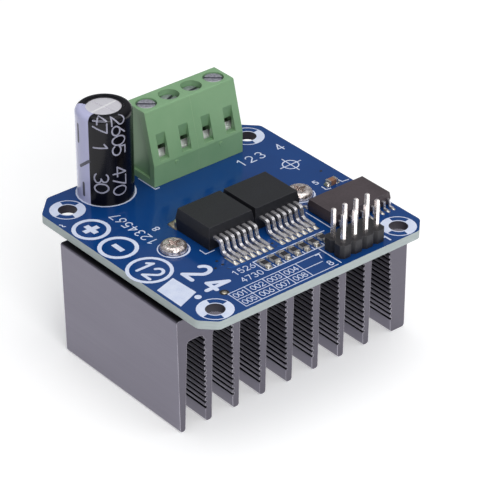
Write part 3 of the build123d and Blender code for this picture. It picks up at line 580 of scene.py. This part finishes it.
sixStroke = [(0.5, 1)] + arc(0.3, 0.3, 0.3, 0.3, 160, 500)
digitStrokes = {
    "0": [arc(0.3, 0.5, 0.3, 0.5, 90, 440)],
    "1": [[(0.08, 0.78), (0.33, 1)], [(0.33, 1), (0.33, 0)]],
    "2": [arc(0.3, 0.7, 0.3, 0.3, 165, -35) + [(0, 0)], [(0, 0), (0.62, 0)]],
    "3": [arc(0.28, 0.75, 0.27, 0.25, 150, -80), arc(0.28, 0.26, 0.31, 0.26, 80, -150)],
    "4": [[(0.44, 0), (0.44, 1)], [(0.44, 1), (0, 0.31)], [(0, 0.31), (0.64, 0.31)]],
    "5": [[(0.55, 1), (0.08, 1)], [(0.08, 1), (0.04, 0.56)], arc(0.28, 0.32, 0.31, 0.32, 140, -150)],
    "6": [sixStroke],
    "7": [[(0, 1), (0.6, 1)], [(0.6, 1), (0.2, 0)]],
    "8": [arc(0.3, 0.76, 0.24, 0.24, 90, 440), arc(0.3, 0.26, 0.3, 0.26, 90, 440)],
    "9": [[(0.6 - x, 1 - y) for x, y in sixStroke]],
}
digitHalf = 0.3     # half a digit's width, as a share of its height
strokeStep = 0.004  # each stroke lies this much over the last, so that they don't share a face


# Row of digits centred on a point; along is the reading direction and up is its left-hand normal
def addDigits(mesh, place, text, centre, along, height, pitch, stroke, ink, wide=1.0, step=9):
    up = (-along[1], along[0])
    for i, digit in enumerate(text):
        if digit == " ":
            continue
        start = (i - (len(text) - 1) / 2) * pitch - digitHalf * height * wide
        for order, line in enumerate(digitStrokes[digit]):
            path = []
            for x, y in line:
                right = start + x * height * wide
                rise = (y - 0.5) * height
                path.append((centre[0] + along[0] * right + up[0] * rise,
                             centre[1] + along[1] * right + up[1] * rise))
            addBand(mesh, strokePairs(closeUp(path, step), stroke), place, 0, ink + order * strokeStep)


moundProfile = ((1, 0), (0.94, 0.07), (0.84, 0.24), (0.7, 0.52), (0.52, 0.8), (0.3, 0.96), (0.1, 1))


# Smooth closed mound: rings of points that shrink and rise from a squarish foot
def addMound(mesh, place, centre, size, height, square=0.6, peak=0.0):
    steps = 24
    rings = []
    for share, level in moundProfile:
        ring = []
        for k in range(steps):
            turn = 2 * math.pi * k / steps
            x = math.copysign(abs(math.cos(turn)) ** square, math.cos(turn))
            y = math.copysign(abs(math.sin(turn)) ** square, math.sin(turn))
            ring.append(mesh.verts.new(place(centre[0] + size[0] / 2 * share * x,
                                             centre[1] + size[1] / 2 * share * y + peak * level,
                                             height * level)))
        rings.append(ring)
    mesh.faces.new(rings[0][::-1])
    mesh.faces.new(rings[-1])
    for lower, upper in zip(rings, rings[1:]):
        for k in range(steps):
            after = (k + 1) % steps
            mesh.faces.new((lower[k], lower[after], upper[after], upper[k]))


# Turns a mesh in the making into a piece that rides on the board
def finishPiece(mesh, name, material, smooth=False):
    data = bpy.data.meshes.new(name)
    bmesh.ops.recalc_face_normals(mesh, faces=mesh.faces)
    mesh.to_mesh(data)
    mesh.free()
    piece = bpy.data.objects.new(name, data)
    bpy.context.collection.objects.link(piece)
    data.materials.append(material)
    if smooth:
        for face in data.polygons:
            face.use_smooth = len(face.vertices) == 4
    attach(piece, "board_assembly")


# Printed marks on the board's top. Places are in millimetres from the board's middle; a ring has its
# middle, diameter and line width.
boardPrint = {
    "ink": 0.02, "plusRing": ((-21.25, 11.5), 6.9, 0.75), "minusRing": ((-21.25, 3.8), 7.2, 0.75),
    "numberRing": ((-21.5, -5.25), 8.3, 0.66), "target": ((19.9, 6.45), 3.2, 0.22), "targetReach": 0.75,
    "plusLength": 3.08, "plusWidth": 1.05, "minusLength": 2.7, "minusWidth": 1.0, "line": 0.2,
    "blankBlock": ((-20.0, -9.7), (-19.7, -15.6), (-24.4, -17.4), (-24.4, -11.0)),
    "dot": ((-20.4, -16.95), 1.25), "divider": (-17.3, -18.1), "dividerLine": 0.17,
}
rightward, towardTerminal, towardHeader = (1, 0), (0, 1), (0, -1)
# Rows of digits: text, middle, reading direction, height, pitch, line width and stretch
boardNumbers = (
    ("12", (-21.5, -5.25), towardHeader, 3.5, 2.6, 0.6, 0.9),
    ("1234567", (-15.5, 6.95), towardTerminal, 1.85, 1.75, 0.21, 1.0),
    ("8", (-12.5, 4.5), towardTerminal, 1.3, 1, 0.22, 1.0),
    ("2", (-15.6, -11.0), towardHeader, 4.7, 1, 0.85, 0.85),
    ("4", (-15.7, -15.8), towardHeader, 4.7, 1, 0.85, 0.85),
    ("1", (13.4, 12.55), rightward, 2.1, 1, 0.23, 1.0),
    ("2", (15.5, 12.55), rightward, 2.1, 1, 0.23, 1.0),
    ("3", (17.8, 12.55), rightward, 2.1, 1, 0.23, 1.0),
    ("4", (22.4, 12.55), rightward, 2.1, 1, 0.23, 1.0),
    ("7", (3.5, -20.3), rightward, 1.3, 1, 0.2, 1.0),
    ("8", (3.5, -23.0), rightward, 1.3, 1, 0.2, 1.0),
    ("1", (16.4, -23.3), rightward, 1.6, 1, 0.22, 1.0),
    ("1526", (-9.1, -15.2), rightward, 1.35, 1.2, 0.15, 1.0),
    ("4730", (-9.35, -17.7), rightward, 1.35, 1.2, 0.15, 1.0),
    ("5", (19.1, -1.3), rightward, 1.2, 1, 0.2, 1.0),
)


def makeBoardPrint():
    mesh = bmesh.new()
    look = boardPrint
    ink = look["ink"]
    for ring in ("plusRing", "minusRing", "numberRing", "target"):
        addRing(mesh, onBoard, *look[ring], 0, ink)
    (x, y), half = look["plusRing"][0], look["plusLength"] / 2
    addLine(mesh, onBoard, [(x - half, y), (x + half, y)], look["plusWidth"], ink, False)
    addLine(mesh, onBoard, [(x, y - half), (x, y + half)], look["plusWidth"], ink + strokeStep, False)
    (x, y), half = look["minusRing"][0], look["minusLength"] / 2
    addLine(mesh, onBoard, [(x, y - half), (x, y + half)], look["minusWidth"], ink, False)
    (x, y), reach = look["target"][0], look["target"][1] * look["targetReach"]
    addLine(mesh, onBoard, [(x - reach, y), (x + reach, y)], look["line"], ink + 2 * strokeStep)
    addLine(mesh, onBoard, [(x, y - reach), (x, y + reach)], look["line"], ink + strokeStep)
    block = look["blankBlock"]
    addBand(mesh, [(block[0], block[3]), (block[1], block[2])], onBoard, 0, ink)
    addDisc(mesh, onBoard, *look["dot"], 0, ink)
    for text, centre, along, height, pitch, line, wide in boardNumbers:
        addDigits(mesh, onBoard, text, centre, along, height, pitch, line, ink, wide)
    addTable(mesh, ink)
    addOutlines(mesh, ink)
    finishPiece(mesh, "boardPrint", printInk)


table = {
    "left": -16.0, "right": 4.3, "rows": (-19.45, -21.8, -24.2), "columns": (-12.6, -8.65, -5.05, -1.3),
    "line": 0.15, "middleGap": 1.5, "cellRows": (-20.62, -23.0), "cellCentres": (-14.3, -10.6, -6.9, -3.2),
    "cellHeight": 1.25, "cellPitch": 0.95, "cellLine": 0.14,
}


# Ruled table with pin numbers in its cells
def addTable(mesh, ink):
    top, middle, bottom = table["rows"]
    for y, gap in ((top, 0), (middle, table["middleGap"]), (bottom, 0)):
        addLine(mesh, onBoard, [(table["left"], y), (table["right"] - gap, y)], table["line"], ink)
    for x in (table["left"],) + table["columns"]:
        addLine(mesh, onBoard, [(x, top), (x, bottom)], table["line"], ink + strokeStep)
    numbers = iter(range(1, 9))
    for y in table["cellRows"]:
        for x in table["cellCentres"]:
            addDigits(mesh, onBoard, "%03d" % next(numbers), (x, y), rightward, table["cellHeight"],
                      table["cellPitch"], table["cellLine"], ink)


# Lines round the parts
outlineLines = {
    "driverCorner": [(-11.0, -5.8), (-11.0, -7.35), (-9.1, -7.35)],
    "resistorFrame": [(9.5, -14.5), (-6.45, -14.5), (-6.45, -17.5)] + arc(-5.85, -17.5, 0.6, 0.6, 180, 270)
                     + [(9.5, -18.1)],
    "terminalFoot": [(-4.3, 20.0), (-4.3, 15.15), (-3.4, 15.15)],
    "smallMark": [(-24.6, 16.2), (-24.3, 15.8), (-24.5, 15.4), (-24.1, 15.1)],
    "bufferSide": [(11.1, -8.0), (11.1, -15.1)],
    "ceramicLeft": [(19.05, -3.07), (18.98, -4.28), (19.98, -4.47)],
    "ceramicRight": [(22.88, -1.93), (23.06, -4.01), (24.42, -4.17)],
    "headerFrame": [(5.0, -24.1), (5.0, -18.2), (16.3, -18.2), (16.3, -24.1)],
}
# Rings round the round parts: inner and outer radius, and the angles between which each is printed
roundOutlines = {"capacitor": (5.15, 5.45, 122, 418), "screwShade": (2.55, 2.92, 205, 330),
                 "screwDiameter": 5.8, "screwPlace": 14.2}


def addOutlines(mesh, ink):
    for i in range(chipSolder["resistorCount"]):
        x = chipSolder["resistorFirst"] + (i + 0.5) * chipSolder["resistorPitch"]
        ends = [(x, y) for y in boardPrint["divider"]]
        addLine(mesh, onBoard, ends, boardPrint["dividerLine"], ink + strokeStep)
    for line in outlineLines.values():
        addLine(mesh, onBoard, line, boardPrint["line"], ink + 2 * strokeStep)
    centre = (capacitorAxis[0] / mm, capacitorAxis[1] / mm)
    addSector(mesh, onBoard, centre, *roundOutlines["capacitor"], 0, ink)
    for side in (-1, 1):
        screw = (side * roundOutlines["screwPlace"], (screwsLow[1] + screwsHigh[1]) / 2 / mm)
        addRing(mesh, onBoard, screw, roundOutlines["screwDiameter"], boardPrint["line"], 0, ink)
        addSector(mesh, onBoard, screw, *roundOutlines["screwShade"], 0, ink + strokeStep)


holeMarks = {
    "places": ((-20.5, 19.4), (20.5, 19.4), (-20.5, -21.6), (20.5, -21.6)), "outer": 6.45, "inner": 3.85,
    "line": 0.2, "sectors": ((80, 190), (260, 370)), "innerLap": 0.15, "outerLap": 0.05, "thickness": 0.02,
}


# Rings and filled quarters round the mounting holes, on both faces of the board
def makeHoleMarks():
    mesh = bmesh.new()
    look = holeMarks
    high = look["thickness"]
    inner, outer = look["inner"] / 2 - look["innerLap"], look["outer"] / 2 - look["outerLap"]
    for place in (onBoard, underBoard):
        for centre in look["places"]:
            addRing(mesh, place, centre, look["outer"], look["line"], 0, high)
            addRing(mesh, place, centre, look["inner"], look["line"], 0, high)
            for start, end in look["sectors"]:
                addSector(mesh, place, centre, inner, outer, start, end, 0, high + strokeStep)
    finishPiece(mesh, "holeMarks", printInk)


boardCopper = {
    "thickness": 0.03, "width": 0.3,
    "tracks": ([(-10.9, -13.2), (-9.9, -13.6), (-7.4, -13.9)], [(-2.96, -14.05), (-1.9, -14.2)],
               [(0.0, -13.2), (0.8, -13.9)]),
    "vias": ((-10.85, -11.75), (-10.85, -13.25), (-10.95, -10.3), (-12.57, -11.9), (-2.96, -14.05),
             (-0.03, -11.96), (0.0, -13.15), (22.6, 1.2), (24.0, -14.6)),
    "viaDiameter": 0.55, "holeShadeHeight": 0.012,
}


# Short copper tracks under the mask, which stand proud of the laminate by their own thickness
def makeCopperTracks():
    mesh = bmesh.new()
    for line in boardCopper["tracks"]:
        addLine(mesh, onBoard, line, boardCopper["width"], boardCopper["thickness"])
    finishPiece(mesh, "copperPours", maskedCopper)


# Dark discs painted on the vias as the shade in their holes
def makeViaHoleShade():
    mesh = bmesh.new()
    for spot in boardCopper["vias"]:
        addDisc(mesh, onBoard, spot, boardCopper["viaDiameter"], 0, boardCopper["holeShadeHeight"])
    finishPiece(mesh, "viaHoleShade", finishes["chip_black"])


solderFeet = {
    "driverPitch": 1.27, "driverCount": 7, "padSize": (1.06, 3.5), "padHeight": 0.12, "padSquare": 0.2,
    "padCentre": -11.75, "toeSize": (0.85, 1.2), "toeHeight": 0.3, "toeInset": 0.1, "toeRise": 0.3,
    "bufferPitch": 1.27, "bufferCount": 10, "bufferReach": 4.95, "bufferSize": (0.72, 1.5),
    "bufferHeight": 0.2,
}


# Middle of a node's box on the board, in millimetres
def middleOf(node):
    low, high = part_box(node)
    return (low[0] + high[0]) / 2 / mm, (low[1] + high[1]) / 2 / mm


# Solder round the feet of the leads and at the ends of the chip parts
def makeSurfaceSolder():
    mesh = bmesh.new()
    look = solderFeet
    for node in ("driver_leads_left", "driver_leads_right"):
        x = middleOf(node)[0]
        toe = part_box(node)[0][1] / mm
        for i in range(look["driverCount"]):
            foot = x + (i - (look["driverCount"] - 1) / 2) * look["driverPitch"]
            addMound(mesh, onBoard, (foot, look["padCentre"]), look["padSize"], look["padHeight"],
                     look["padSquare"])
            addMound(mesh, onBoard, (foot, toe - look["toeInset"]), look["toeSize"], look["toeHeight"],
                     peak=look["toeRise"])
    x, y = middleOf("buffer_body")
    for i in range(look["bufferCount"]):
        foot = x + (i - (look["bufferCount"] - 1) / 2) * look["bufferPitch"]
        for side in (-1, 1):
            addMound(mesh, onBoard, (foot, y + side * look["bufferReach"]), look["bufferSize"],
                     look["bufferHeight"])
    finishPiece(mesh, "surfaceSolder", finishes["solder"], True)


chipSolder = {"resistorFirst": -5.4, "resistorPitch": 2.17, "resistorCount": 7, "resistorLength": 2.0,
              "size": (1.3, 1.1), "height": 0.5, "square": 0.4, "overhang": 0.1, "ceramicLength": 2.0,
              "ceramicSize": (1.2, 1.5), "ceramicHeight": 0.7}


# Solder at both ends of each chip resistor and of the ceramic capacitor
def makeChipSolder():
    mesh = bmesh.new()
    look = chipSolder
    y = middleOf("resistor_bodies")[1]
    for i in range(look["resistorCount"]):
        x = look["resistorFirst"] + i * look["resistorPitch"]
        reach = look["resistorLength"] / 2 + look["overhang"]
        for side in (-1, 1):
            addMound(mesh, onBoard, (x, y + side * reach), look["size"], look["height"], look["square"])
    x, y = middleOf("ceramic_capacitor_body")
    for side in (-1, 1):
        addMound(mesh, onBoard, (x + side * look["ceramicLength"] / 2, y), look["ceramicSize"],
                 look["ceramicHeight"])
    finishPiece(mesh, "chipSolder", finishes["solder"], True)


testDot = {"place": (-16.15, -18.65), "size": 1.1, "gap": 1.7, "height": 0.05, "gapHeight": 0.01}


# Bare test pad in its opening in the mask
def makeTestDot():
    pad, gap = bmesh.new(), bmesh.new()
    addMound(pad, onBoard, testDot["place"], (testDot["size"],) * 2, testDot["height"], 1.0)
    addDisc(gap, onBoard, testDot["place"], testDot["gap"], 0, testDot["gapHeight"])
    finishPiece(pad, "testPad", finishes["tab_tin"])
    finishPiece(gap, "testPadGap", finishes["chip_black"])


tabSolder = {"width": 10.2, "length": 3.2, "height": 1.05, "inset": 0.1, "square": 0.3}


# Solder that runs out behind each driver chip's tab
def makeTabSolder():
    mesh = bmesh.new()
    for node in ("driver_tab_left", "driver_tab_right"):
        low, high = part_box(node)
        x = (low[0] + high[0]) / 2 / mm
        size = (tabSolder["width"], tabSolder["length"])
        addMound(mesh, onBoard, (x, high[1] / mm - tabSolder["inset"]), size, tabSolder["height"],
                 tabSolder["square"])
    finishPiece(mesh, "tabSolder", finishes["tab_tin"], True)


sleevePrint = {
    "ink": 0.014, "stroke": 0.28, "height": 2.5, "stretch": 1.2, "step": 0.25,
    "columns": (
        (225, (("4", 17.4), ("7", 15.6), ("1", 11.8), ("3", 5.6), ("0", 3.6))),
        (263, (("2", 16.9), ("6", 14.85), ("0", 12.85), ("5", 10.9), ("4", 6.7), ("7", 4.7), ("0", 2.8)))),
    "dashes": ((171, 15.1, 171, 11.7), (176, 7.0, 200, 8.7), (184, 3.8, 184, 1.4)), "dashWidth": 0.55,
    "dashParts": 6,
}


# Length round the sleeve, from the stripe's centre to an angle
def aroundSleeve(angle):
    return math.radians(angle - sleeveFinish["stripeCentre"]) * sleeveShape["radius"]


# Numbers down the capacitor's sleeve and the marks on its stripe
def makeSleevePrint():
    look = sleevePrint
    light, dark = bmesh.new(), bmesh.new()
    for centre, digits in look["columns"]:
        for digit, up in digits:
            addDigits(light, onSleeve, digit, (aroundSleeve(centre), up), (0, -1), look["height"], 1,
                      look["stroke"], look["ink"], look["stretch"], look["step"])
    for startAngle, startUp, endAngle, endUp in look["dashes"]:
        path = []
        for i in range(look["dashParts"] + 1):
            share = i / look["dashParts"]
            angle = startAngle + (endAngle - startAngle) * share
            path.append((aroundSleeve(angle), startUp + (endUp - startUp) * share))
        addLine(dark, onSleeve, path, look["dashWidth"], look["ink"])
    finishPiece(light, "sleeveNumbers", sleeveInk)
    finishPiece(dark, "sleeveDashes", stripeInk)


sleeveLip = {"outer": 7.16, "inner": 6.4, "thickness": 0.15}


# Point on the top of the capacitor's can, in millimetres from its axis
def onCan(x, y, height):
    middle = (capacitorAxis[0], capacitorAxis[1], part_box("capacitor_can")[1][2])
    return Vector(middle) + Vector((x, y, height)) * mm


# Thin rim of film that has shrunk inward over the can's top
def makeSleeveLip():
    mesh = bmesh.new()
    width = (sleeveLip["outer"] - sleeveLip["inner"]) / 2
    addRing(mesh, onCan, (0, 0), sleeveLip["outer"], width, 0, sleeveLip["thickness"])
    finishPiece(mesh, "sleeveLip", finishes["capacitor_sleeve"])


scoreLine = {"angle": 8, "length": 6.0, "width": 0.24, "low": -0.15, "high": -0.01}


# Painted highlight: a white band set in the can's score, where light catches the groove's edge
def makeScoreLine():
    mesh = bmesh.new()
    turn = math.radians(scoreLine["angle"])
    reach = (math.cos(turn) * scoreLine["length"] / 2, math.sin(turn) * scoreLine["length"] / 2)
    ends = [(-reach[0], -reach[1]), reach]
    addBand(mesh, strokePairs(ends, scoreLine["width"], False), onCan, scoreLine["low"], scoreLine["high"])
    finishPiece(mesh, "scoreLine", paintedScoreHighlight)


makeBoardPrint()
makeHoleMarks()
makeCopperTracks()
makeViaHoleShade()
print("board marks made")
makeSurfaceSolder()
makeChipSolder()
makeTestDot()
makeTabSolder()
print("solder made")
makeSleevePrint()
makeSleeveLip()
makeScoreLine()
print("sleeve print made")

studio = {
    "floorSize": 3.0, "floor": "#eeeeee", "floorGlow": 0.3, "floorMirrored": 0.85, "backdrop": "#ffffff",
    "worldTop": "#ffffff", "worldBack": "#b4b6bc", "worldFront": "#74777e", "worldStrength": 0.6,
    "frontFade": (0.2, -0.6), "topFade": (0.45, 0.9), "aim": (0, 0, 0.02),
    "key": {"place": (-0.16, -0.44, 0.30), "size": 0.25, "power": 1.25},
    "fill": {"place": (0.30, -0.35, 0.45), "size": 0.40, "power": 0.5},
    "top": {"place": (0.05, 0.05, 0.60), "size": 0.50, "power": 1.2},
}


# Pale floor: diffuse, so that it keeps the shadow, with a glow that only the camera and reflections see
def makeFloor():
    mesh = bmesh.new()
    bmesh.ops.create_grid(mesh, x_segments=4, y_segments=4, size=studio["floorSize"] / 2)
    data = bpy.data.meshes.new("studioFloor")
    mesh.to_mesh(data)
    mesh.free()
    floor = bpy.data.objects.new("studioFloor", data)
    bpy.context.collection.objects.link(floor)
    material = bpy.data.materials.new("paleFloorPaint")
    material.use_nodes = True
    tree = material.node_tree
    tree.nodes.clear()
    diffuse = addNode(tree, "BsdfDiffuse", {}, {"Color": studio["floor"]})
    rays = addNode(tree, "LightPath").node.outputs
    mirrored = addNode(tree, "Math", larger, {0: rays["Is Glossy Ray"], 1: rays["Is Transmission Ray"]})
    inMirror = addNode(tree, "Math", multiply, {0: mirrored, 1: studio["floorMirrored"]})
    strength = addNode(tree, "Math", {"operation": "MULTIPLY_ADD"}, {
        0: rays["Is Camera Ray"], 1: studio["floorGlow"], 2: inMirror})
    glow = addNode(tree, "Emission", {}, {"Color": (1, 1, 1, 1), "Strength": strength})
    both = addNode(tree, "AddShader", {}, {0: diffuse, 1: glow})
    addNode(tree, "OutputMaterial", {}, {"Surface": both})
    data.materials.append(material)


# World: pale behind the object, darker in front, white overhead, and plain white where the camera sees it
def makeWorld():
    world = bpy.data.worlds.new("studioSurround")
    bpy.context.scene.world = world
    world.use_nodes = True
    tree = world.node_tree
    tree.nodes.clear()
    ray = addNode(tree, "TexCoord", {}, {}, "Generated")
    parts = addNode(tree, "SeparateXYZ", {}, {0: ray}).node.outputs
    near, far = studio["frontFade"]
    low, high = studio["topFade"]
    front = addNode(tree, "MapRange", {}, {0: parts["Y"], 1: near, 2: far})
    lift = addNode(tree, "MapRange", {}, {0: parts["Z"], 1: low, 2: high})
    level = addNode(tree, "Mix", mixColours, {0: front, 6: studio["worldBack"], 7: studio["worldFront"]}, 2)
    colour = addNode(tree, "Mix", mixColours, {0: lift, 6: level, 7: studio["worldTop"]}, 2)
    light = addNode(tree, "Background", {}, {"Color": colour, "Strength": studio["worldStrength"]})
    plain = addNode(tree, "Background", {}, {"Color": studio["backdrop"], "Strength": 1.0})
    seen = addNode(tree, "LightPath", {}, {}, "Is Camera Ray")
    mixed = addNode(tree, "MixShader", {}, {0: seen, 1: light, 2: plain})
    addNode(tree, "OutputWorld", {}, {"Surface": mixed})


# Soft square lamp that looks at the object's middle
def makeLamp(name, look):
    data = bpy.data.lights.new(name, "AREA")
    data.shape = "SQUARE"
    data.size = look["size"]
    data.energy = look["power"]
    lamp = bpy.data.objects.new(name, data)
    lamp.location = look["place"]
    towards = Vector(studio["aim"]) - Vector(look["place"])
    lamp.rotation_euler = towards.to_track_quat("-Z", "Y").to_euler()
    bpy.context.collection.objects.link(lamp)


makeFloor()
makeWorld()
for name in ("key", "fill", "top"):
    makeLamp(name + "Lamp", studio[name])

# The view of the photograph: place in metres, then degrees, and millimetres of lens and sensor
view = {"place": (-0.24303, -0.29659, 0.25833), "turn": 50.358, "tilt": -31.891, "lens": 192.716,
        "sensor": 36.0}
cameraData = bpy.data.cameras.new("photoCamera")
cameraData.lens = view["lens"]
cameraData.sensor_width = view["sensor"]
camera = bpy.data.objects.new("photoCamera", cameraData)
camera.location = view["place"]
camera.rotation_euler = (math.radians(90 + view["tilt"]), 0, math.radians(view["turn"] - 90))
bpy.context.collection.objects.link(camera)
bpy.context.scene.camera = camera
bpy.context.scene.view_settings.view_transform = "Standard"
print("studio and camera set")
